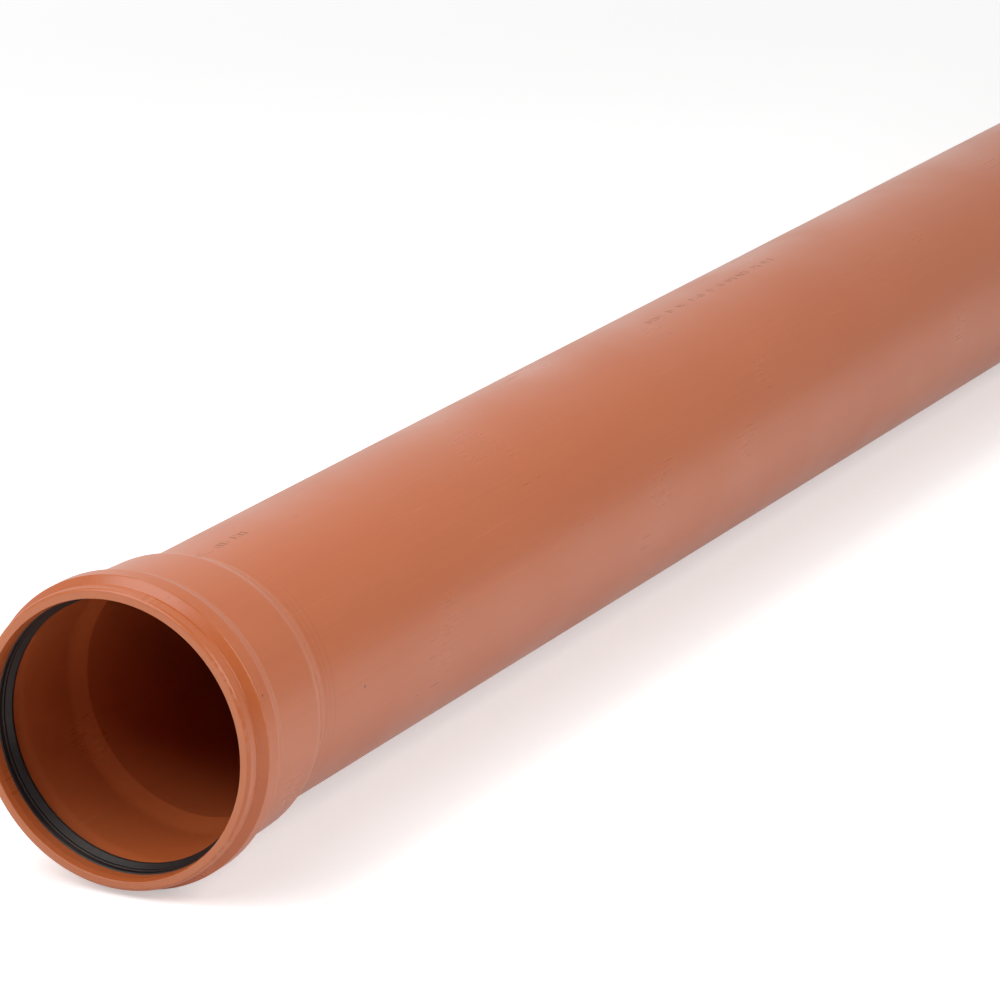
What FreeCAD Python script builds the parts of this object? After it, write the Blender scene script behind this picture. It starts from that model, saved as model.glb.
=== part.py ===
import FreeCAD, Part
import math
import os
import Sketcher

# A PVC-U gravity sewer pipe, DN 160, with a formed ring-seal socket at one end.
# Two pieces: the pipe itself, extruded and belled from one wall, and the rubber
# sealing ring that sits in the bead of its socket.
#
# Each body is drawn with the pipe's axis along +X and the socket's mouth at X = 0.
# Its Placement then lays it on the floor Z = 0, where it rests on the bead of the
# socket and on the end of the barrel, centred on the origin and sloping a little.

SIZES = [
    # alias, value in mm, meaning
    ("pipe_radius", 80.0, "outside of the barrel"),
    ("pipe_wall", 4.7, "wall of the barrel"),
    ("total_length", 2080.0, "mouth of the socket to the plain end"),
    ("chamfer_length", 7.0, "chamfer of the plain end, along the pipe"),
    ("chamfer_drop", 1.9, "chamfer of the plain end, off the radius"),
    ("socket_depth", 85.0, "mouth to the inner end of the socket's wall"),
    ("socket_clearance", 0.6, "radial room around a pipe at that inner end"),
    ("socket_draft", 1.6, "how much wider the socket's wall is at the ring's seat"),
    ("socket_wall", 4.6, "wall of the socket"),
    ("shoulder_length", 13.0, "slope from the socket down to the barrel"),
    ("shoulder_lead", 1.5, "how far that slope starts earlier on the outside"),
    ("mouth_clearance", 0.8, "radial room around a pipe in the mouth"),
    ("flare_length", 4.4, "lead-in cone at the mouth, along the pipe"),
    ("flare_height", 0.8, "how much that cone opens the mouth"),
    ("rim_height", 7.4, "collar in front of the bead, above the barrel"),
    ("rim_length", 8.0, "mouth to the back edge of that collar"),
    ("valley_run", 2.8, "collar to the bottom of the valley behind it"),
    ("valley_height", 6.3, "bottom of that valley, above the barrel"),
    ("bead_rise", 4.8, "valley to the front edge of the bead's crest"),
    ("bead_crest", 11.0, "length of the bead's crest"),
    ("bead_fall", 10.9, "bead's crest to the foot of its back slope"),
    ("bead_height", 11.2, "bead's crest, above the barrel"),
    ("seat_rise", 5.0, "valley to the front edge of the seat's floor"),
    ("seat_floor", 9.8, "length of the seat's floor"),
    ("seat_fall", 15.0, "seat's floor to the foot of its back flank"),
    ("ring_nose", 0.8, "ring's nose, from the seat's front foot to its face"),
    ("ring_face_height", 0.2, "ring's face, above the barrel's radius"),
    ("ring_face_length", 3.2, "length of the ring's face"),
    ("ring_step_lean", 0.8, "lean of the step behind that face"),
    ("ring_ridge_drop", 0.3, "ring's ridge, inside the barrel's radius"),
    ("ring_ridge_length", 1.4, "length of that ridge"),
    ("lip_bite", 2.6, "how far the free lip stands inside the barrel's radius"),
    ("lip_reach", 9.8, "valley to the front edge of the lip's land"),
    ("lip_land", 1.8, "length of the lip's land"),
    ("lip_back_lean", 0.6, "lean of the lip's back edge"),
    ("lip_back_rise", 1.2, "height of the lip's back edge"),
    ("root_run", 6.6, "valley to the root of the lip, behind it"),
    ("root_height", 1.6, "that root, above the barrel's radius"),
    ("heel_run", 7.8, "valley to the front of the heel's inner face"),
    ("heel_thickness", 3.0, "rubber of the heel on the seat's floor"),
    ("heel_length", 6.4, "heel on the seat's floor, along the pipe"),
    ("rim_round", 2.4, "rounding of the collar's front edge"),
    ("collar_round", 1.6, "rounding of the collar's back edge"),
    ("valley_round", 0.9, "rounding in the valley"),
    ("crest_round", 1.2, "rounding of the front edge of the bead's crest"),
    ("bead_round", 4.0, "rounding of the back edge of the bead's crest"),
    ("foot_round", 6.0, "rounding at the foot of the bead"),
    ("shoulder_round", 18.0, "rounding at the top of the shoulder"),
    ("toe_round", 9.0, "rounding at the foot of the shoulder"),
    ("bore_round", 3.0, "rounding where the bore begins"),
    ("seat_round", 3.0, "rounding at the back of the seat's floor"),
    ("seat_foot_round", 20.0, "rounding at the foot of the seat's back flank"),
    ("mouth_round", 0.5, "rounding of the mouth's inner edge"),
    ("rubber_round", 0.35, "rounding of the ring's edges"),
]

# The seat of the ring, drawn once for the wall around it and for the rubber in it.
SEAT_FRONT = ("rim_length + valley_run", "pipe_radius + mouth_clearance")
SEAT_FLOOR = (
    "rim_length + valley_run + seat_rise",
    "pipe_radius + bead_height - socket_wall",
)
SEAT_BACK = (
    "rim_length + valley_run + seat_rise + seat_floor",
    "pipe_radius + bead_height - socket_wall",
)
SEAT_FOOT = (
    "rim_length + valley_run + seat_rise + seat_floor + seat_fall",
    "pipe_radius + socket_clearance + socket_draft",
)

# Corners of the pipe's section as (place from the mouth, radius), mouth to plain
# end along the outside and back along the inside.
RIM_FRONT = ("", "pipe_radius + rim_height")
RIM_BACK = ("rim_length", "pipe_radius + rim_height")
VALLEY = ("rim_length + valley_run", "pipe_radius + valley_height")
CREST_FRONT = ("rim_length + valley_run + bead_rise", "pipe_radius + bead_height")
CREST_BACK = (
    "rim_length + valley_run + bead_rise + bead_crest",
    "pipe_radius + bead_height",
)
BEAD_FOOT = (
    "rim_length + valley_run + bead_rise + bead_crest + bead_fall",
    "pipe_radius + socket_clearance + socket_draft + socket_wall",
)
SHOULDER_TOP = (
    "socket_depth - shoulder_lead",
    "pipe_radius + socket_clearance + socket_wall",
)
SHOULDER_TOE = ("socket_depth + shoulder_length - shoulder_lead", "pipe_radius")
CHAMFER_START = ("total_length - chamfer_length", "pipe_radius")
CHAMFER_END = ("total_length", "pipe_radius - chamfer_drop")
BORE_END = ("total_length", "pipe_radius - pipe_wall")
BORE_START = ("socket_depth + shoulder_length", "pipe_radius - pipe_wall")
SOCKET_END = ("socket_depth", "pipe_radius + socket_clearance")
FLARE_END = ("flare_length", "pipe_radius + mouth_clearance")
FLARE_START = ("", "pipe_radius + mouth_clearance + flare_height")

PIPE_SECTION = [
    RIM_FRONT,
    RIM_BACK,
    VALLEY,
    CREST_FRONT,
    CREST_BACK,
    BEAD_FOOT,
    SHOULDER_TOP,
    SHOULDER_TOE,
    CHAMFER_START,
    CHAMFER_END,
    BORE_END,
    BORE_START,
    SOCKET_END,
    SEAT_FOOT,
    SEAT_BACK,
    SEAT_FLOOR,
    SEAT_FRONT,
    FLARE_END,
    FLARE_START,
]

# Corners of the rubber ring's section: along its seat, then back along its lip.
FACE = "rim_length + valley_run + ring_nose"
RIDGE_RADIUS = "pipe_radius - ring_ridge_drop"
HEEL_END = (
    "rim_length + valley_run + seat_rise + heel_length",
    "pipe_radius + bead_height - socket_wall",
)
HEEL_BACK = (
    "rim_length + valley_run + seat_rise + heel_length",
    "pipe_radius + bead_height - socket_wall - heel_thickness",
)
HEEL_FRONT = (
    "rim_length + valley_run + heel_run",
    "pipe_radius + bead_height - socket_wall - heel_thickness",
)
LIP_ROOT = ("rim_length + valley_run + root_run", "pipe_radius + root_height")
LIP_BACK = (
    "rim_length + valley_run + lip_reach + lip_land + lip_back_lean",
    "pipe_radius - lip_bite + lip_back_rise",
)
LIP_LAND_END = ("rim_length + valley_run + lip_reach + lip_land", "pipe_radius - lip_bite")
LIP_LAND_START = ("rim_length + valley_run + lip_reach", "pipe_radius - lip_bite")
RIDGE_END = (FACE + " + ring_face_length + ring_step_lean + ring_ridge_length", RIDGE_RADIUS)
RIDGE_START = (FACE + " + ring_face_length + ring_step_lean", RIDGE_RADIUS)
STEP_START = (FACE + " + ring_face_length", "pipe_radius + ring_face_height")
FACE_FRONT = (FACE, "pipe_radius + ring_face_height")

RING_SECTION = [
    SEAT_FRONT,
    SEAT_FLOOR,
    HEEL_END,
    HEEL_BACK,
    HEEL_FRONT,
    LIP_ROOT,
    LIP_BACK,
    LIP_LAND_END,
    LIP_LAND_START,
    RIDGE_END,
    RIDGE_START,
    STEP_START,
    FACE_FRONT,
]


def make_sheet(doc):
    """Put every size into one spreadsheet, a plain number with an alias each."""
    sheet = doc.addObject("Spreadsheet::Sheet", "Sizes")
    for row, (alias, value, meaning) in enumerate(SIZES, start=1):
        sheet.set("A%d" % row, alias)
        sheet.set("B%d" % row, str(value))
        sheet.set("C%d" % row, meaning)
        sheet.setAlias("B%d" % row, alias)
    doc.recompute()
    return sheet


def amount(sheet, text):
    """Add up the named sizes in a sum such as "bead_end + foot_gap - wall"."""
    total = 0.0
    sign = 1.0
    for word in text.split():
        if word == "+":
            sign = 1.0
        elif word == "-":
            sign = -1.0
        else:
            total += sign * float(sheet.get(word))
    return total


def bound(text):
    """Write the same sum as an expression that reads the sheet's cells."""
    words = [w if w in "+-" else "Sizes." + w for w in text.split()]
    return " ".join(words)


def origin_plane(body, role):
    """Find one of the body's own origin planes."""
    for feature in body.Origin.OriginFeatures:
        if feature.Role == role:
            return feature
    raise ValueError("no origin plane " + role)


def section_sketch(sheet, body, name, corners):
    """Draw a closed section, X along the pipe and Y its radius, bound to the sheet."""
    sketch = body.newObject("Sketcher::SketchObject", name)
    sketch.AttachmentSupport = (origin_plane(body, "XZ_Plane"), [""])
    sketch.MapMode = "FlatFace"
    points = []
    for place, radius in corners:
        points.append(FreeCAD.Vector(amount(sheet, place), amount(sheet, radius), 0))
    count = len(points)
    for i in range(count):
        sketch.addGeometry(Part.LineSegment(points[i], points[(i + 1) % count]), False)
    for i in range(count):
        sketch.addConstraint(Sketcher.Constraint("Coincident", i, 2, (i + 1) % count, 1))
    for i, (place, radius) in enumerate(corners):
        if place:
            along = sketch.addConstraint(
                Sketcher.Constraint("DistanceX", -1, 1, i, 1, points[i].x))
            sketch.renameConstraint(along, "place_%d" % i)
            sketch.setExpression("Constraints.place_%d" % i, bound(place))
        else:
            sketch.addConstraint(Sketcher.Constraint("PointOnObject", i, 1, -2))
        out = sketch.addConstraint(Sketcher.Constraint("DistanceY", -1, 1, i, 1, points[i].y))
        sketch.renameConstraint(out, "radius_%d" % i)
        sketch.setExpression("Constraints.radius_%d" % i, bound(radius))
    return sketch


def revolve(body, name, sketch):
    """Turn the section once around the pipe's axis."""
    solid = body.newObject("PartDesign::Revolution", name)
    solid.Profile = (sketch, [""])
    solid.ReferenceAxis = (sketch, ["H_Axis"])
    solid.Angle = 360.0
    return solid


def round_corners(doc, sheet, body, name, base, corners, radius_alias):
    """Round the circular edges that stand at the given corners of the section."""
    doc.recompute()
    wanted = [(amount(sheet, place), amount(sheet, radius)) for place, radius in corners]
    names = []
    for number, edge in enumerate(base.Shape.Edges, start=1):
        if not isinstance(edge.Curve, Part.Circle):
            continue
        for place, radius in wanted:
            near = abs(edge.Curve.Center.x - place) < 1e-4
            if near and abs(edge.Curve.Radius - radius) < 1e-4:
                names.append("Edge%d" % number)
    if len(names) != len(wanted):
        raise ValueError("%s found %d of %d edges" % (name, len(names), len(wanted)))
    fillet = body.newObject("PartDesign::Fillet", name)
    fillet.Base = (base, names)
    fillet.Radius = float(sheet.get(radius_alias))
    fillet.setExpression("Radius", "Sizes." + radius_alias)
    base.Visibility = False
    return fillet


def lay_down(sheet, body):
    """Lay a body on the floor: on the bead's crest and the plain end's edge.

    The floor touches the rounded back edge of the bead, a circle of bead_round,
    and the edge where the plain end's chamfer starts.
    """
    crest = amount(sheet, CREST_BACK[1])
    foot = amount(sheet, BEAD_FOOT[1])
    run = amount(sheet, BEAD_FOOT[0]) - amount(sheet, CREST_BACK[0])
    slope = math.atan2(crest - foot, run)
    ball = float(sheet.get("bead_round"))
    ball_place = amount(sheet, CREST_BACK[0]) - ball * math.tan(slope / 2.0)
    ball_radius = crest - ball
    away = amount(sheet, CHAMFER_START[0]) - ball_place
    drop = ball_radius - amount(sheet, CHAMFER_START[1])
    tilt = math.atan2(drop, away) + math.asin(ball / math.hypot(drop, away))
    height = ball_place * math.sin(tilt) + ball_radius * math.cos(tilt) + ball
    back = amount(sheet, "total_length") * math.cos(tilt) / 2.0
    turn = FreeCAD.Rotation(FreeCAD.Vector(0, 1, 0), math.degrees(tilt))
    body.Placement = FreeCAD.Placement(FreeCAD.Vector(-back, 0, height), turn)


def make_pipe(doc, sheet):
    """The barrel with its socket: one belled wall, turned from one section."""
    body = doc.addObject("PartDesign::Body", "Pipe")
    body.Label = "pipe"
    sketch = section_sketch(sheet, body, "PipeSection", PIPE_SECTION)
    solid = revolve(body, "PipeWall", sketch)
    steps = [
        ("RoundRim", [RIM_FRONT], "rim_round"),
        ("RoundCollar", [RIM_BACK], "collar_round"),
        ("RoundValley", [VALLEY], "valley_round"),
        ("RoundCrest", [CREST_FRONT], "crest_round"),
        ("RoundBead", [CREST_BACK], "bead_round"),
        ("RoundFoot", [BEAD_FOOT], "foot_round"),
        ("RoundShoulder", [SHOULDER_TOP, SOCKET_END], "shoulder_round"),
        ("RoundToe", [SHOULDER_TOE], "toe_round"),
        ("RoundBore", [BORE_START], "bore_round"),
        ("RoundSeat", [SEAT_BACK], "seat_round"),
        ("RoundSeatFoot", [SEAT_FOOT], "seat_foot_round"),
        ("RoundMouth", [FLARE_START], "mouth_round"),
    ]
    for name, corners, radius_alias in steps:
        solid = round_corners(doc, sheet, body, name, solid, corners, radius_alias)
    body.Tip = solid
    lay_down(sheet, body)
    return body


def make_ring(doc, sheet):
    """The rubber ring: a heel in the bead, a face behind the mouth and a lip."""
    body = doc.addObject("PartDesign::Body", "SealingRing")
    body.Label = "sealing_ring"
    sketch = section_sketch(sheet, body, "RingSection", RING_SECTION)
    solid = revolve(body, "RingRubber", sketch)
    corners = [STEP_START, RIDGE_START, RIDGE_END, FACE_FRONT, LIP_LAND_START, LIP_LAND_END]
    solid = round_corners(doc, sheet, body, "RoundRubber", solid, corners, "rubber_round")
    body.Tip = solid
    lay_down(sheet, body)
    return body


def check(doc, bodies):
    """Stop if any object failed or any piece isn't one sound solid."""
    for item in doc.Objects:
        if "Invalid" in item.State or "Error" in item.State:
            raise RuntimeError("%s failed: %s" % (item.Name, item.State))
    for body in bodies:
        shape = body.Shape
        if shape.isNull() or not shape.isValid() or len(shape.Solids) != 1:
            raise RuntimeError("%s isn't one valid solid" % body.Label)


def main():
    doc = FreeCAD.newDocument("SewerPipe")
    sheet = make_sheet(doc)
    bodies = [make_pipe(doc, sheet), make_ring(doc, sheet)]
    doc.recompute()
    check(doc, bodies)
    os.makedirs("parts", exist_ok=True)
    for body in bodies:
        body.Shape.exportStep("parts/%s.step" % body.Label)
        box = body.Shape.BoundBox
        print("%s volume %.1f mm3, X %.3f..%.3f, Z %.4f..%.4f" % (
            body.Label, body.Shape.Volume, box.XMin, box.XMax, box.ZMin, box.ZMax))


main()
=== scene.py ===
# %% [markdown]
# # A sewer pipe and its sealing ring
#
# A buried sewer pipe is one length of orange-brown PVC. One end is plain. The
# other is blown out into a socket while the plastic is hot, and a rubber ring
# sits in a groove in there. The frame below is the measured model of that pipe.
# Everything here is in metres, and each piece takes its place from the frame.

import math

import bpy
import numpy as np
from mathutils import Matrix, Vector


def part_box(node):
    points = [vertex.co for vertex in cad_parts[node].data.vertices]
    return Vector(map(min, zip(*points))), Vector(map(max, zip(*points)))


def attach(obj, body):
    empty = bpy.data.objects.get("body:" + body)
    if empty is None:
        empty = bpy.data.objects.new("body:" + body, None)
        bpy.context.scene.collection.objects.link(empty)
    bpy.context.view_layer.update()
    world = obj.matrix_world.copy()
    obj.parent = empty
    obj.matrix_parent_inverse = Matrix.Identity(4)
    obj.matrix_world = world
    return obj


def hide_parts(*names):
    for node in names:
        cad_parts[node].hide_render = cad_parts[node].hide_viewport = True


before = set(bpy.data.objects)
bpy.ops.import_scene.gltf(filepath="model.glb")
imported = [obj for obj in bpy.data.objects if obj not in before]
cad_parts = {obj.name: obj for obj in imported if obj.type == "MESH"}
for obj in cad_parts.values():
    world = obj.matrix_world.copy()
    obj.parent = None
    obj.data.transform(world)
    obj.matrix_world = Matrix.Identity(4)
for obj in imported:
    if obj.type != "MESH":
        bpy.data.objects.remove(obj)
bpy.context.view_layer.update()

# %% [markdown]
# The sizes of the wall are listed the way a pipe maker draws them: as a cut
# through one side, with the distance from the mouth, the radius there, and how
# far the corner is rounded. The walls could be painted onto the loose triangles
# of the measured model, but its flats show in the gloss of the plastic, so both
# pieces are turned again here from the same cut, many times finer.

# %% The cut through the wall of the pipe, in millimetres
MM = 0.001
LENGTH = 2080.0
BARREL = 80.0
CHAMFER = 7.0

# distance from the mouth, radius, rounding of that corner
WALL_OUTSIDE = [
    (0.0, 87.4, 2.4),
    (8.0, 87.4, 1.6),
    (10.8, 86.3, 0.9),
    (15.6, 91.2, 1.2),
    (26.6, 91.2, 4.0),
    (37.5, 86.8, 6.0),
    (83.5, 85.2, 18.0),
    (96.5, BARREL, 9.0),
    (LENGTH - CHAMFER, BARREL, 0.6),
    (LENGTH, 78.1, 0.25),
]
WALL_INSIDE = [
    (LENGTH, 75.3, 0.25),
    (98.0, 75.3, 3.0),
    (85.0, 80.6, 18.0),
    (40.6, 82.2, 20.0),
    (25.6, 86.6, 3.0),
    (15.8, 86.6, 0.3),
    (10.8, 80.8, 0.2),
    (4.4, 80.8, 0.5),
    (0.0, 81.6, 0.5),
]
print("corners in the wall:", len(WALL_OUTSIDE) + len(WALL_INSIDE))

# %% [markdown]
# The rubber ring is moulded, then snapped into its groove. It has a thick heel
# that fills the groove, a nose just behind the mouth, and a thin lip that slants
# inwards. The lip is what seals: the next pipe bends it open and holds it tight.

# %% The cut through the rubber ring, in millimetres
RUBBER = [
    (10.8, 80.8, 0.15),
    (15.8, 86.6, 0.3),
    (22.2, 86.6, 0.35),
    (22.2, 83.6, 0.35),
    (18.6, 83.6, 0.8),
    (17.4, 81.6, 0.5),
    (23.0, 78.6, 0.5),
    (22.4, 77.4, 0.35),
    (20.6, 77.4, 0.35),
    (17.0, 79.7, 0.5),
    (15.6, 79.7, 0.3),
    (14.8, 80.2, 0.15),
    (11.6, 80.2, 0.35),
]
print("corners in the rubber:", len(RUBBER))

# %% [markdown]
# No real edge is knife sharp: the line of light along a rounded edge is what
# tells the eye that the part is moulded. So each corner of the cut is swapped
# for a small arc, and each straight run gets a point near either end, which
# keeps the flat flat when the shading is smooth.


# %% Round the corners of a cut
def unit(vectors):
    """Each vector divided by its own length."""
    return vectors / np.linalg.norm(vectors, axis=-1, keepdims=True)


def rounded(corners, steps=8):
    """Closed outline with an arc at each corner.

    With b and a the unit directions to the corner before and after, the middle
    of the arc lies along m = unit(b + a). For rounding r and half turn h, the
    arc's centre is corner + m r / cos h, and its points are
    centre - m r cos p + t r sin p, for p from -h to h and t = unit(a - b).
    """
    cut = np.asarray(corners, float)
    point, radius = cut[:, :2], cut[:, 2:3]
    before = unit(np.roll(point, 1, axis=0) - point)
    after = unit(np.roll(point, -1, axis=0) - point)
    half = (math.pi - np.arccos(np.clip((before * after).sum(1), -1, 1))) / 2
    middle, along = unit(before + after), unit(after - before)
    centre = point + middle * radius / np.cos(half)[:, None]
    swing = np.linspace(-1, 1, steps)[None, :] * half[:, None]
    return (
        centre[:, None, :]
        - middle[:, None, :] * (radius * np.cos(swing))[:, :, None]
        + along[:, None, :] * (radius * np.sin(swing))[:, :, None]
    )


def held_flat(arcs, shares=(0.06, 0.5, 0.94), reach=1.2):
    """Adds points to each straight run from one arc to the next.

    A run from p to q gets the points p + (q - p) s for each share s, with the
    outer two no further than reach from its ends.
    """
    start, end = arcs[:, -1, :], np.roll(arcs[:, 0, :], -1, axis=0)
    run = np.linalg.norm(end - start, axis=1, keepdims=True)
    share = np.repeat(np.asarray(shares, float)[None, :], len(arcs), axis=0)
    near = np.minimum(share[:, :1], reach / run)
    share = np.concatenate([near, share[:, 1:-1], 1 - near], axis=1)
    extra = start[:, None, :] + (end - start)[:, None, :] * share[:, :, None]
    return np.concatenate([arcs, extra], axis=1).reshape(-1, 2)


wall_cut = held_flat(rounded(WALL_OUTSIDE + WALL_INSIDE))
rubber_cut = held_flat(rounded(RUBBER))
print("points in the wall's cut:", len(wall_cut), "in the rubber's:", len(rubber_cut))

# %% [markdown]
# Handling rubs the crisp edges that stand out, and never the hollow or soft ones.
# Which corner is which is known from the cut itself, so each of its points gets a
# number for how far it is rubbed, and the materials read that number later.


# %% How far each point of a cut is rubbed
def rubbed(corners, steps=8, flats=3):
    """Number from 0 to 1 for each point that rounded and held_flat make.

    A corner counts by its outward turn h, as (h - 6) / 24 with h in degrees, held
    between 0 and 1, and not at all if it is rounded by more than 2.5 mm. Along its
    arc the number is cos(p)^2 for p from -90 to 90 degrees, and on the straight
    runs it is 0.
    """
    cut = np.asarray(corners, float)
    point = cut[:, :2]
    before = unit(point - np.roll(point, 1, axis=0))
    after = unit(np.roll(point, -1, axis=0) - point)
    outward = before[:, 1] * after[:, 0] - before[:, 0] * after[:, 1]
    turn = np.degrees(np.arcsin(np.clip(outward, -1, 1)))
    share = np.clip((turn - 6) / 24, 0, 1) * (cut[:, 2] <= 2.5)
    swell = np.cos(np.linspace(-math.pi / 2, math.pi / 2, steps)) ** 2
    return np.hstack([share[:, None] * swell, np.zeros((len(point), flats))]).reshape(-1)


wall_rub = rubbed(WALL_OUTSIDE + WALL_INSIDE)
rubber_rub = rubbed(RUBBER)
for name, rub in (("wall", wall_rub), ("rubber", rubber_rub)):
    print("points rubbed on the", name + ":", int((rub > 0.01).sum()))

# %% [markdown]
# The pipe lies loose on a level floor. The socket is thicker than the barrel, so
# the pipe rests on its bead and on the far plain end, and slopes by a third of a
# degree. That slope comes from the cut: turn it until both ends touch the floor.

# %% How the pipe lies
def lying(cut):
    """Slope in radians at which both ends of the cut touch the floor.

    Under a slope a, a point at distance s and radius r reaches s sin a + r cos a
    below the axis. The slope that makes the deepest points of the two halves
    equal is atan((r1 - r2) / (s2 - s1)), worked out again for those points.
    """
    slope = 0.0
    near, far = cut[cut[:, 0] < LENGTH / 2], cut[cut[:, 0] >= LENGTH / 2]
    for _ in range(4):
        pull = (math.sin(slope), math.cos(slope))
        a, b = near[np.argmax(near @ pull)], far[np.argmax(far @ pull)]
        slope = math.atan2(a[1] - b[1], b[0] - a[0])
    pull = (math.sin(slope), math.cos(slope))
    return slope, float((near @ pull).max()) * MM


SLOPE, AXIS_HEIGHT = lying(wall_cut)
low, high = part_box("pipe")
reach = wall_cut @ np.array([[math.cos(SLOPE), math.sin(SLOPE)]]).T * MM
back = wall_cut @ np.array([[math.cos(SLOPE), -math.sin(SLOPE)]]).T * MM
MOUTH = np.array(
    [
        (low[0] + high[0]) / 2 - (max(reach.max(), back.max()) + min(reach.min(), back.min())) / 2,
        (low[1] + high[1]) / 2,
        low[2] + AXIS_HEIGHT,
    ]
)
ALONG = np.array([math.cos(SLOPE), 0.0, -math.sin(SLOPE)])
SIDE = np.array([0.0, 1.0, 0.0])
UP = np.array([math.sin(SLOPE), 0.0, math.cos(SLOPE)])
print("slope", round(math.degrees(SLOPE), 4), "degrees, mouth centre", MOUTH.round(6))

# %% [markdown]
# A turned shape is a cut carried round an axis. As arrays it is one product: the
# grid has a row for each point of the cut and a column for each step round. It
# closes on itself both ways, so there is no seam and no pole.


# %% Turn a cut round the pipe's axis
def turned(name, cut, rub, steps):
    """Mesh object of the cut carried once round the axis, with its "rub" numbers.

    The point for (s, r) at angle t is
    mouth + s along + r (cos t up + sin t side), and each face joins two
    neighbours of the cut at two neighbouring angles.
    """
    turn = np.linspace(0, 2 * math.pi, steps, endpoint=False) + math.pi / steps
    ring = np.cos(turn)[:, None] * UP + np.sin(turn)[:, None] * SIDE
    s, r = cut[:, 0] * MM, cut[:, 1] * MM
    points = MOUTH + s[:, None, None] * ALONG + r[:, None, None] * ring[None, :, :]
    rows, columns = len(cut), steps
    i, j = np.meshgrid(np.arange(rows), np.arange(columns), indexing="ij")
    i2, j2 = (i + 1) % rows, (j + 1) % columns
    faces = np.stack([i * columns + j, i2 * columns + j, i2 * columns + j2, i * columns + j2], -1)
    mesh = bpy.data.meshes.new(name)
    mesh.vertices.add(rows * columns)
    mesh.vertices.foreach_set("co", points.reshape(-1).astype(np.float32))
    mesh.loops.add(faces.size)
    mesh.loops.foreach_set("vertex_index", faces.reshape(-1).astype(np.int32))
    mesh.polygons.add(rows * columns)
    mesh.polygons.foreach_set("loop_start", np.arange(0, faces.size, 4, dtype=np.int32))
    mesh.update(calc_edges=True)
    mesh.shade_smooth()
    mesh.attributes.new("rub", "FLOAT", "POINT").data.foreach_set(
        "value", np.repeat(rub, steps).astype(np.float32)
    )
    piece = bpy.data.objects.new(name, mesh)
    bpy.context.scene.collection.objects.link(piece)
    return piece


def inside_out(piece):
    """True if the faces point inwards: the summed volume under them is negative."""
    mesh = piece.data
    mesh.calc_loop_triangles()
    corner = np.zeros(len(mesh.vertices) * 3)
    mesh.vertices.foreach_get("co", corner)
    index = np.zeros(len(mesh.loop_triangles) * 3, np.int32)
    mesh.loop_triangles.foreach_get("vertices", index)
    a, b, c = corner.reshape(-1, 3)[index.reshape(-1, 3)].transpose(1, 0, 2)
    volume = np.einsum("ij,ij->i", a, np.cross(b, c)).sum() / 6
    print(piece.name, round(volume * 1e6, 1), "ml,", len(mesh.loop_triangles), "triangles")
    return volume < 0


STEPS_ROUND = 288
pipe = turned("pvc_pipe", wall_cut, wall_rub, STEPS_ROUND)
seal = turned("rubber_seal", rubber_cut, rubber_rub, STEPS_ROUND)
assert not inside_out(pipe) and not inside_out(seal)

# %% [markdown]
# Each new piece hides the part of the measured model that it stands for and is
# hung on the body it moves with, and the finish of the record that it stands for
# is printed. Nothing here moves on its own, so both ride on the one body.

# %% Tie both pieces to the measured model
for piece, node, finish in (
    (pipe, "pipe", "pvc_orange_brown"),
    (seal, "sealing_ring", "rubber_black"),
):
    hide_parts(node)
    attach(piece, "root")
    print(piece.name, "stands for", node, "and wears", finish)


# %% [markdown]
# A material is a small machine made of nodes. A few helpers keep it readable. They
# add a node and fill its inputs by name, do arithmetic, turn a number into a soft
# step from 0 to 1, stretch a vector, make noise, and mix two colours.


# %% Make and wire nodes
def fill(tree, socket, value):
    """Wires value into the socket if it is a node's output, and else sets it."""
    if isinstance(value, bpy.types.NodeSocket):
        tree.links.new(value, socket)
    else:
        socket.default_value = value


def add(tree, kind, **inputs):
    """New node of that kind, or of a node group, with its named inputs filled."""
    if isinstance(kind, str):
        node = tree.nodes.new(kind)
    else:
        node = tree.nodes.new("ShaderNodeGroup")
        node.node_tree = kind
    for name, value in inputs.items():
        fill(tree, node.inputs[name.replace("_", " ")], value)
    return node


def calc(tree, operation, *values):
    """Output of a math node whose inputs are numbers or other nodes' outputs."""
    node = tree.nodes.new("ShaderNodeMath")
    node.operation = operation
    for socket, value in zip(node.inputs, values):
        fill(tree, socket, value)
    return node.outputs[0]


def step(tree, value, start, end):
    """Soft step: 0 where value is at start, 1 where it is at end, flat beyond."""
    node = add(tree, "ShaderNodeMapRange", Value=value, From_Min=start, From_Max=end)
    node.interpolation_type = "SMOOTHSTEP"
    return node.outputs["Result"]


def stretch(tree, vector, *factors):
    """The vector with its X, Y and Z multiplied by the three factors."""
    node = tree.nodes.new("ShaderNodeVectorMath")
    node.operation = "MULTIPLY"
    tree.links.new(vector, node.inputs[0])
    node.inputs[1].default_value = factors
    return node.outputs[0]


def noise(tree, vector, scale, detail=2.0):
    """Output of a smooth noise from 0 to 1, with scale bumps in a metre."""
    node = add(tree, "ShaderNodeTexNoise", Vector=vector, Scale=scale, Detail=detail)
    return node.outputs[0]


def tint(tree, share, first, second):
    """Colour that goes from first to second as share goes from 0 to 1."""
    node = tree.nodes.new("ShaderNodeMix")
    node.data_type = "RGBA"
    # a mix node keeps its colour sockets at these places, after those for numbers
    for place, value in ((0, share), (6, first), (7, second)):
        fill(tree, node.inputs[place], value)
    return node.outputs[2]


def new_group(name, inputs, outputs):
    """Empty node group with named sockets: its tree, its inputs and its outputs."""
    tree = bpy.data.node_groups.new(name, "ShaderNodeTree")
    for way, sockets in (("INPUT", inputs), ("OUTPUT", outputs)):
        for label, kind in sockets:
            tree.interface.new_socket(label, in_out=way, socket_type="NodeSocket" + kind)
    return tree, tree.nodes.new("NodeGroupInput").outputs, tree.nodes.new("NodeGroupOutput").inputs


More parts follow.
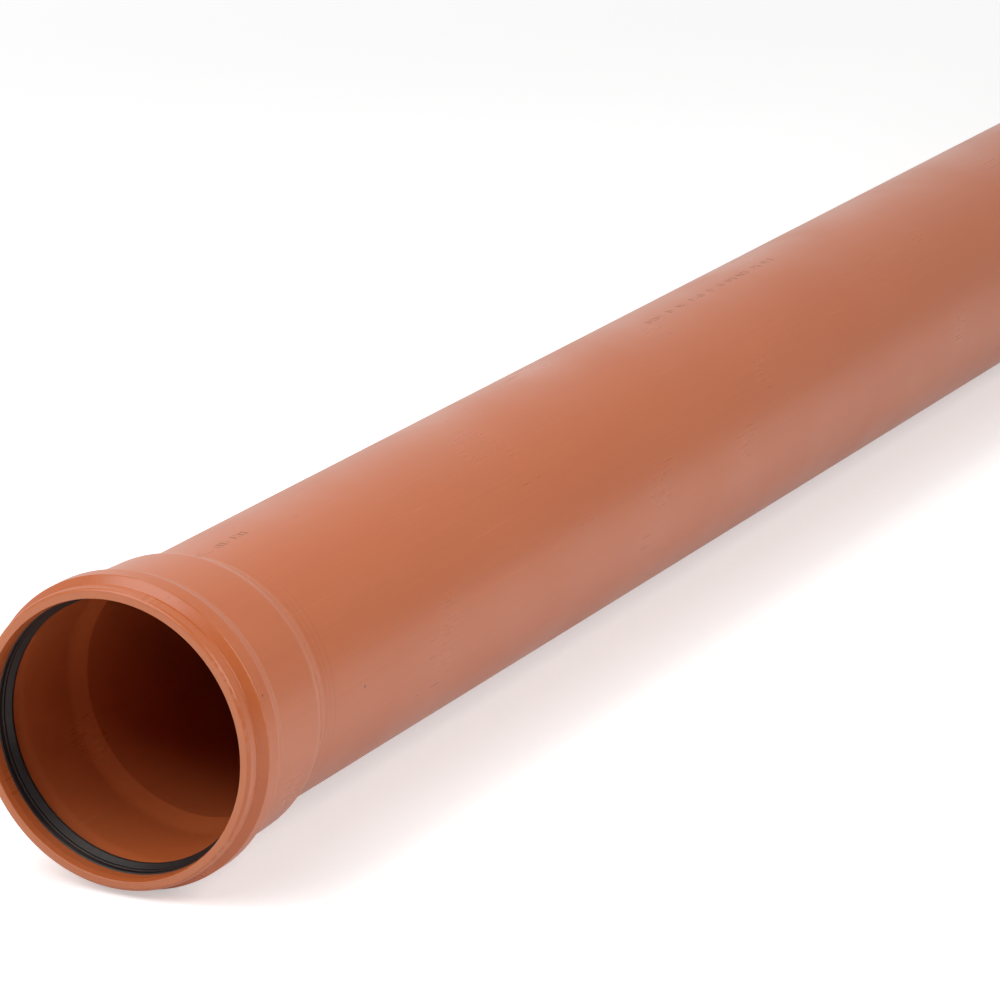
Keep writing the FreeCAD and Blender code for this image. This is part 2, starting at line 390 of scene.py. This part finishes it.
# %% [markdown]
# What marks a pipe depends on where you are on it: streaks run along it, rings
# run round it, dust falls on top. So the first group turns a point in space into
# pipe-maker's terms: how far from the mouth, how far from the axis, and how far
# round from the top. It is the same slope as above, undone.

# %% Where a point is on the pipe
on_pipe, _, gives = new_group(
    "place_on_pipe",
    [],
    [("Place", "Vector"), ("Along", "Float"), ("Radius", "Float"), ("Round", "Float")],
)
point = on_pipe.nodes.new("ShaderNodeTexCoord").outputs["Object"]
laid = add(on_pipe, "ShaderNodeMapping", Vector=point, Location=MOUTH, Rotation=(0, SLOPE, 0))
laid.vector_type = "TEXTURE"
axes = add(on_pipe, "ShaderNodeSeparateXYZ", Vector=laid.outputs[0]).outputs
square = [calc(on_pipe, "MULTIPLY", axes[i], axes[i]) for i in (1, 2)]
radius = calc(on_pipe, "SQRT", calc(on_pipe, "ADD", *square))
angle = calc(on_pipe, "ARCTAN2", axes[1], axes[2])
on_pipe.links.new(laid.outputs[0], gives["Place"])
on_pipe.links.new(calc(on_pipe, "MULTIPLY", axes[0], 1 / MM), gives["Along"])
on_pipe.links.new(calc(on_pipe, "MULTIPLY", radius, 1 / MM), gives["Radius"])
on_pipe.links.new(calc(on_pipe, "MULTIPLY", angle, BARREL), gives["Round"])
print("place_on_pipe gives", [socket.name for socket in gives if socket.name])

# %% [markdown]
# Both plastics were formed against metal, and both keep its grain: a soft ripple
# a few millimetres wide on the pipe, a finer one on the rubber. One group makes
# it at any size, as a height in millimetres around zero.

# %% Grain left by the tool
grain, takes, gives = new_group(
    "tool_grain",
    [("Place", "Vector"), ("Size", "Float"), ("Depth", "Float")],
    [("Height", "Float"), ("Gloss", "Float")],
)
fine = add(grain, "ShaderNodeTexNoise", Vector=takes["Place"], Detail=3.0)
wide = add(grain, "ShaderNodeTexNoise", Vector=takes["Place"], Scale=14.0, Detail=2.0)
grain.links.new(calc(grain, "DIVIDE", 1 / MM, takes["Size"]), fine.inputs["Scale"])
ripple = calc(grain, "SUBTRACT", fine.outputs[0], 0.5)
grain.links.new(calc(grain, "MULTIPLY", ripple, takes["Depth"]), gives["Height"])
grain.links.new(calc(grain, "SUBTRACT", wide.outputs[0], 0.5), gives["Gloss"])
print("tool_grain takes", [socket.name for socket in takes if socket.name])

# %% [markdown]
# A pipe in a yard picks up a little dust. It lies on what faces up: the top of
# the outside and the bottom of the inside. It comes in patches, with specks in
# them. The group gives one mask, which lightens the colour and dulls the gloss.

# %% Dust from handling
dust, takes, gives = new_group(
    "yard_dust", [("Place", "Vector"), ("Amount", "Float")], [("Dust", "Float")]
)
facing = add(
    dust, "ShaderNodeSeparateXYZ", Vector=dust.nodes.new("ShaderNodeNewGeometry").outputs["Normal"]
)
patches = step(dust, noise(dust, takes["Place"], 9.0, 4.0), 0.42, 0.72)
specks = step(dust, noise(dust, takes["Place"], 900.0, 1.0), 0.6, 0.78)
film = calc(dust, "MULTIPLY_ADD", specks, 0.65, 0.35)
lying_on = calc(dust, "MULTIPLY", step(dust, facing.outputs[2], -0.1, 1.0), patches)
film = calc(dust, "MULTIPLY", film, lying_on)
dust.links.new(calc(dust, "MULTIPLY", film, takes["Amount"]), gives["Dust"])
print("yard_dust gives", [socket.name for socket in gives if socket.name])

# %% [markdown]
# Where edges knock against things they are scuffed: paler, matt and broken up,
# never an even line. The group breaks up the rub numbers of the mesh with noise.

# %% Scuffs along the edges
scuffs, takes, gives = new_group("edge_scuffs", [("Place", "Vector")], [("Scuff", "Float")])
rub = scuffs.nodes.new("ShaderNodeAttribute")
rub.attribute_name = "rub"
broken = noise(scuffs, takes["Place"], 340.0, 4.0)
here = step(scuffs, noise(scuffs, takes["Place"], 17.0, 2.0), 0.4, 0.62)
broken = calc(scuffs, "MULTIPLY", step(scuffs, broken, 0.44, 0.62), here)
scuffs.links.new(calc(scuffs, "MULTIPLY", broken, rub.outputs["Fac"]), gives["Scuff"])
print("edge_scuffs reads", rub.attribute_name)

# %% [markdown]
# Now the pipe's plastic. PVC for sewers is dyed orange-brown right through. The
# dye is never quite even, so slow clouds and a few dark specks go into the
# colour. The die that the pipe was pushed through leaves fine streaks along it,
# which are noise stretched many times longer along the pipe than across it.

# %% Start the pipe's material: colour of the plastic
pvc = bpy.data.materials.new("orange_brown_pvc")
pvc.use_nodes = True
tree = pvc.node_tree
pvc_shader = tree.nodes["Principled BSDF"]
at = add(tree, on_pipe).outputs
streaks = noise(tree, stretch(tree, at["Place"], 0.012, 1, 1), 420.0, 3.0)
clouds = noise(tree, stretch(tree, at["Place"], 0.35, 1, 1), 12.0, 3.0)
pigment = add(tree, "ShaderNodeTexVoronoi", Vector=at["Place"], Scale=48.0, Randomness=1.0)
speck_size = add(tree, "ShaderNodeSeparateColor", Color=pigment.outputs["Color"])
speck_size = calc(tree, "MULTIPLY", calc(tree, "POWER", speck_size.outputs[0], 14.0), 0.055)
specks = calc(tree, "LESS_THAN", pigment.outputs["Distance"], speck_size)
shade = calc(tree, "MULTIPLY_ADD", clouds, 0.5, calc(tree, "MULTIPLY", streaks, 0.35))
pvc_colour = tint(tree, shade, (0.495, 0.113, 0.030, 1), (0.625, 0.166, 0.050, 1))
pvc_colour = tint(tree, calc(tree, "MULTIPLY", specks, 0.75), pvc_colour, (0.10, 0.028, 0.014, 1))
print("colour of the plastic made of", len(tree.nodes), "nodes")

# %% [markdown]
# Pipes are dragged and stacked lengthwise, so their scratches run mostly along
# them. A thin slice through a stretched noise is a set of long fine lines, and a
# second, wider noise keeps only some of them. The pipe was heated up to the foot
# of the socket, and faint rings show where the hot part stopped.

# %% Scratches along the pipe and rings beside the socket
outside = step(tree, at["Radius"], 78.0, 79.0)
lines = noise(tree, stretch(tree, at["Place"], 0.02, 1, 1), 95.0, 1.0)
lines = calc(tree, "ABSOLUTE", calc(tree, "SUBTRACT", lines, 0.5))
kept = step(tree, noise(tree, stretch(tree, at["Place"], 0.14, 1, 1), 62.0, 1.0), 0.58, 0.70)
scratches = calc(tree, "MULTIPLY", step(tree, lines, 0.009, 0.002), kept)
scratches = calc(tree, "MULTIPLY", scratches, outside)
fading = step(tree, noise(tree, at["Place"], 11.0, 2.0), 0.35, 0.65)
heat_rings = 0.0
for place, width in ((101.0, 1.6), (105.5, 0.9), (111.0, 1.4)):
    away = calc(tree, "ABSOLUTE", calc(tree, "SUBTRACT", at["Along"], place))
    heat_rings = calc(tree, "ADD", heat_rings, step(tree, away, width, 0.0))
heat_rings = calc(tree, "MULTIPLY", calc(tree, "MULTIPLY", heat_rings, outside), fading)
pvc_colour = tint(tree, calc(tree, "MULTIPLY", heat_rings, 0.14), pvc_colour, (0.2, 0.06, 0.03, 1))
pvc_colour = tint(tree, calc(tree, "MULTIPLY", scratches, 0.10), pvc_colour, (0.8, 0.42, 0.28, 1))
print("three rings, scratches about", round(1000 / 95), "mm apart")

# %% [markdown]
# Makers ink their details along the top of a pipe. Here there is only a row of
# plain bars in that place, worn thin: the length is cut into cells, and a random
# number for each cell says whether it holds a bar.

# %% Faint ink bars along the top
CELL, FILLED, HALF_HEIGHT = 4.0, 0.55, 2.6
counted = calc(tree, "DIVIDE", at["Along"], CELL)
dice = tree.nodes.new("ShaderNodeTexWhiteNoise")
dice.noise_dimensions = "1D"
tree.links.new(calc(tree, "FLOOR", counted), dice.inputs["W"])
holds = calc(tree, "GREATER_THAN", dice.outputs["Value"], 0.35)
bars = calc(tree, "MULTIPLY", holds, calc(tree, "LESS_THAN", calc(tree, "FRACT", counted), FILLED))
row = calc(tree, "LESS_THAN", calc(tree, "ABSOLUTE", at["Round"]), HALF_HEIGHT)
ink = calc(tree, "MULTIPLY", bars, calc(tree, "MULTIPLY", row, outside))
span = 0.0
for start, end in ((92.0, 161.0), (682.0, 884.0)):
    past_start = calc(tree, "GREATER_THAN", at["Along"], start)
    before_end = calc(tree, "LESS_THAN", at["Along"], end)
    span = calc(tree, "ADD", span, calc(tree, "MULTIPLY", past_start, before_end))
worn = step(tree, noise(tree, at["Place"], 420.0, 3.0), 0.36, 0.6)
ink = calc(tree, "MULTIPLY", calc(tree, "MULTIPLY", ink, span), worn)
pvc_colour = tint(tree, calc(tree, "MULTIPLY", ink, 0.5), pvc_colour, (0.07, 0.03, 0.02, 1))
print("bars", CELL * FILLED, "mm long,", 2 * HALF_HEIGHT, "mm high")

# %% [markdown]
# The plain end is cut and chamfered by a turning tool after the pipe has cooled,
# and the mouth is trimmed the same way. Cut plastic is paler and matt, with fine rings
# from the tool. Both cuts are found by place: past the chamfer's start, and in
# the first third of a millimetre of the mouth.

# %% Cut faces at both ends
TOOL_RINGS = 0.35
cut_end = step(tree, at["Along"], LENGTH - CHAMFER - 0.3, LENGTH - CHAMFER + 0.1)
cut_end = calc(tree, "MULTIPLY", cut_end, step(tree, at["Radius"], 75.35, 75.6))
cut_mouth = calc(tree, "MULTIPLY", step(tree, at["Along"], 0.3, 0.05), 0.5)
cut = calc(tree, "MAXIMUM", cut_end, cut_mouth)
turning = calc(tree, "ADD", calc(tree, "MULTIPLY", at["Along"], 0.6), at["Radius"])
turning = calc(tree, "SINE", calc(tree, "MULTIPLY", turning, 2 * math.pi / TOOL_RINGS))
pvc_colour = tint(tree, calc(tree, "MULTIPLY", cut, 0.55), pvc_colour, (0.70, 0.30, 0.17, 1))
print("tool rings", TOOL_RINGS, "mm apart")

# %% [markdown]
# Last come the scuffs and the dust, on top of everything, as on the real pipe.
# The gloss follows the same masks: scuffed, scratched, cut and dusty places are
# rougher. The relief is given in millimetres, so the bump distance is one of them.

# %% Finish the pipe's material
scuffed = add(tree, scuffs, Place=at["Place"]).outputs["Scuff"]
dusty = add(tree, dust, Place=at["Place"], Amount=0.05).outputs["Dust"]
pvc_colour = tint(tree, calc(tree, "MULTIPLY", scuffed, 0.35), pvc_colour, (0.74, 0.40, 0.27, 1))
pvc_colour = tint(tree, dusty, pvc_colour, (0.60, 0.50, 0.42, 1))
tooled = add(tree, grain, Place=at["Place"], Size=3.2, Depth=0.010).outputs
rough = calc(tree, "MULTIPLY_ADD", tooled["Gloss"], 0.18, 0.31)
rough = calc(tree, "MULTIPLY_ADD", calc(tree, "SUBTRACT", streaks, 0.5), 0.06, rough)
for mask, more in ((scratches, 0.12), (cut, 0.26), (scuffed, 0.25), (dusty, 0.8), (ink, 0.15)):
    rough = calc(tree, "MULTIPLY_ADD", mask, more, rough)
relief = calc(tree, "MULTIPLY_ADD", calc(tree, "SUBTRACT", streaks, 0.5), 0.006, tooled["Height"])
relief = calc(tree, "MULTIPLY_ADD", scratches, -0.012, relief)
relief = calc(tree, "MULTIPLY_ADD", calc(tree, "MULTIPLY", turning, cut), 0.012, relief)
relief = calc(tree, "MULTIPLY_ADD", scuffed, -0.006, relief)
relief = calc(tree, "MULTIPLY_ADD", heat_rings, 0.02, relief)
bump = add(tree, "ShaderNodeBump", Height=relief, Distance=MM)
tree.links.new(pvc_colour, pvc_shader.inputs["Base Color"])
tree.links.new(rough, pvc_shader.inputs["Roughness"])
tree.links.new(bump.outputs[0], pvc_shader.inputs["Normal"])
pvc_shader.inputs["IOR"].default_value = 1.54
pipe.data.materials.append(pvc)
print("pipe's material:", len(tree.nodes), "nodes")

# %% [markdown]
# The ring is black rubber. Its colour hardly changes, and its shape is read from
# the sheen, so the sheen does the work: the mould's fine grain, smears of the
# lubricant that lets it out of the mould, dust, and edges rubbed a little brighter.

# %% The rubber's material
rubber = bpy.data.materials.new("black_rubber")
rubber.use_nodes = True
tree = rubber.node_tree
rubber_shader = tree.nodes["Principled BSDF"]
at = add(tree, on_pipe).outputs
smears = step(tree, noise(tree, at["Place"], 36.0, 4.0), 0.42, 0.68)
scuffed = add(tree, scuffs, Place=at["Place"]).outputs["Scuff"]
dusty = add(tree, dust, Place=at["Place"], Amount=0.22).outputs["Dust"]
tooled = add(tree, grain, Place=at["Place"], Size=0.55, Depth=0.016).outputs
black = tint(tree, smears, (0.0135, 0.0125, 0.0125, 1), (0.023, 0.0215, 0.021, 1))
black = tint(tree, calc(tree, "MULTIPLY", scuffed, 0.5), black, (0.05, 0.047, 0.045, 1))
black = tint(tree, dusty, black, (0.34, 0.29, 0.25, 1))
rough = calc(tree, "MULTIPLY_ADD", tooled["Gloss"], 0.16, 0.46)
for mask, more in ((smears, -0.08), (scuffed, 0.12), (dusty, 0.8)):
    rough = calc(tree, "MULTIPLY_ADD", mask, more, rough)
relief = calc(tree, "MULTIPLY_ADD", scuffed, -0.02, tooled["Height"])
bump = add(tree, "ShaderNodeBump", Height=relief, Distance=MM)
tree.links.new(black, rubber_shader.inputs["Base Color"])
tree.links.new(rough, rubber_shader.inputs["Roughness"])
tree.links.new(bump.outputs[0], rubber_shader.inputs["Normal"])
rubber_shader.inputs["IOR"].default_value = 1.52
seal.data.materials.append(rubber)
print("rubber's material:", len(tree.nodes), "nodes")

# %% [markdown]
# The floor is white paper. It is lit like everything else, so the pipe shades it,
# and a glow of its own, seen only by the camera and in reflections, lifts the
# rest of it to white, more so far away where the lamps don't reach. Rays that
# only carry light don't see the glow, so the pipe isn't lit by it twice.

# %% The floor
FLOOR_HALF = 14.0
mesh = bpy.data.meshes.new("floor")
corners = [(x * FLOOR_HALF, y * FLOOR_HALF, 0) for x, y in ((-1, -1), (1, -1), (1, 1), (-1, 1))]
mesh.from_pydata(corners, [], [(0, 1, 2, 3)])
floor = bpy.data.objects.new("floor", mesh)
bpy.context.scene.collection.objects.link(floor)
paper = bpy.data.materials.new("white_paper")
paper.use_nodes = True
tree = paper.node_tree
tree.nodes.clear()
output = tree.nodes.new("ShaderNodeOutputMaterial")
matt = add(tree, "ShaderNodeBsdfDiffuse", Color=(0.82, 0.82, 0.82, 1))
path = tree.nodes.new("ShaderNodeLightPath").outputs
mirrored = calc(tree, "MAXIMUM", path["Is Glossy Ray"], path["Is Transmission Ray"])
seen = calc(tree, "MAXIMUM", path["Is Camera Ray"], calc(tree, "MULTIPLY", mirrored, 0.5))
where = tree.nodes.new("ShaderNodeTexCoord").outputs["Object"]
far = tree.nodes.new("ShaderNodeVectorMath")
far.operation = "LENGTH"
tree.links.new(where, far.inputs[0])
lift = calc(tree, "MULTIPLY_ADD", step(tree, far.outputs["Value"], 1.0, 5.0), 0.75, 0.46)
glow = add(tree, "ShaderNodeEmission", Strength=calc(tree, "MULTIPLY", seen, lift))
both = tree.nodes.new("ShaderNodeAddShader")
tree.links.new(matt.outputs[0], both.inputs[0])
tree.links.new(glow.outputs[0], both.inputs[1])
tree.links.new(both.outputs[0], output.inputs["Surface"])
floor.data.materials.append(paper)
print("floor", 2 * FLOOR_HALF, "m wide")

# %% [markdown]
# A glossy round pipe shows its lamps as long bands of light, so where they hang
# decides how it looks. A softbox on the near side draws the band along its flank,
# a larger one in front of the mouth lights the top, and two small ones add the
# glints on the top line and on the edges of the mouth. The room is bright beyond
# the plain end and dark in front of the mouth, which keeps the inside of the pipe
# deep and nearly black.

# %% The room around it
world = bpy.data.worlds.new("studio")
bpy.context.scene.world = world
world.use_nodes = True
tree = world.node_tree
tree.nodes.clear()
output = tree.nodes.new("ShaderNodeOutputWorld")
toward = tree.nodes.new("ShaderNodeTexCoord").outputs["Generated"]
slant = tree.nodes.new("ShaderNodeVectorMath")
slant.operation = "DOT_PRODUCT"
slant.inputs[1].default_value = (0.72, 0.60, -0.35)
tree.links.new(toward, slant.inputs[0])
room = calc(tree, "MAXIMUM", calc(tree, "MULTIPLY_ADD", slant.outputs["Value"], 0.6, 0.36), 0.0)
seen = tree.nodes.new("ShaderNodeLightPath").outputs["Is Camera Ray"]
sky = add(tree, "ShaderNodeBackground", Strength=calc(tree, "MAXIMUM", room, seen))
sky.inputs["Color"].default_value = (1, 1, 1, 1)
tree.links.new(sky.outputs[0], output.inputs["Surface"])
print("room made of", len(tree.nodes), "nodes")


# %% The lamps
def softbox(name, toward, width, power, distance=3.0):
    """Flat square lamp that hangs at toward * distance from the mouth and faces it."""
    lamp = bpy.data.lights.new(name, "AREA")
    lamp.shape = "RECTANGLE"
    lamp.size = lamp.size_y = width
    lamp.energy = power
    box = bpy.data.objects.new(name, lamp)
    bpy.context.scene.collection.objects.link(box)
    away = Vector(toward).normalized()
    box.location = Vector(MOUTH.tolist()) + away * distance
    box.rotation_mode = "QUATERNION"
    box.rotation_quaternion = away.to_track_quat("Z", "Y")


for name, toward, width, power in (
    ("near_softbox", (0.13, -0.80, 0.58), 1.7, 40),
    ("back_softbox", (-0.52, 0.30, 0.80), 2.4, 66),
    ("top_softbox", (0.30, 0.24, 0.92), 0.8, 10),
    ("mouth_softbox", (-0.66, -0.20, 0.72), 0.5, 7),
):
    softbox(name, toward, width, power)
    print(name, width, "m wide,", power, "W")

# %% [markdown]
# The camera stands about 3 m in front of the mouth, a little above it and to one
# side, and looks along the pipe. A long lens keeps the far barrel from shrinking
# too fast.

# %% The camera
HEADING, PITCH = math.radians(27.05), math.radians(16.85)
AHEAD = np.array(
    [math.cos(PITCH) * math.cos(HEADING), math.cos(PITCH) * math.sin(HEADING), -math.sin(PITCH)]
)
RIGHT = np.array([math.sin(HEADING), -math.cos(HEADING), 0.0])
OVER = np.cross(RIGHT, AHEAD)
eye = MOUTH + 0.0016 * ALONG + 0.21348 * RIGHT + 0.1326 * OVER - 2.86076 * AHEAD
camera = bpy.data.objects.new("camera", bpy.data.cameras.new("camera"))
bpy.context.scene.collection.objects.link(camera)
camera.data.lens = 186.8
camera.data.sensor_width = 36
stand = np.eye(4)
stand[:3] = np.stack([RIGHT, OVER, -AHEAD, eye], axis=1)
camera.matrix_world = Matrix(stand.tolist())
bpy.context.scene.camera = camera
bpy.context.scene.view_settings.view_transform = "Standard"
print("camera", round(float(np.linalg.norm(eye - MOUTH)), 3), "m from the mouth")
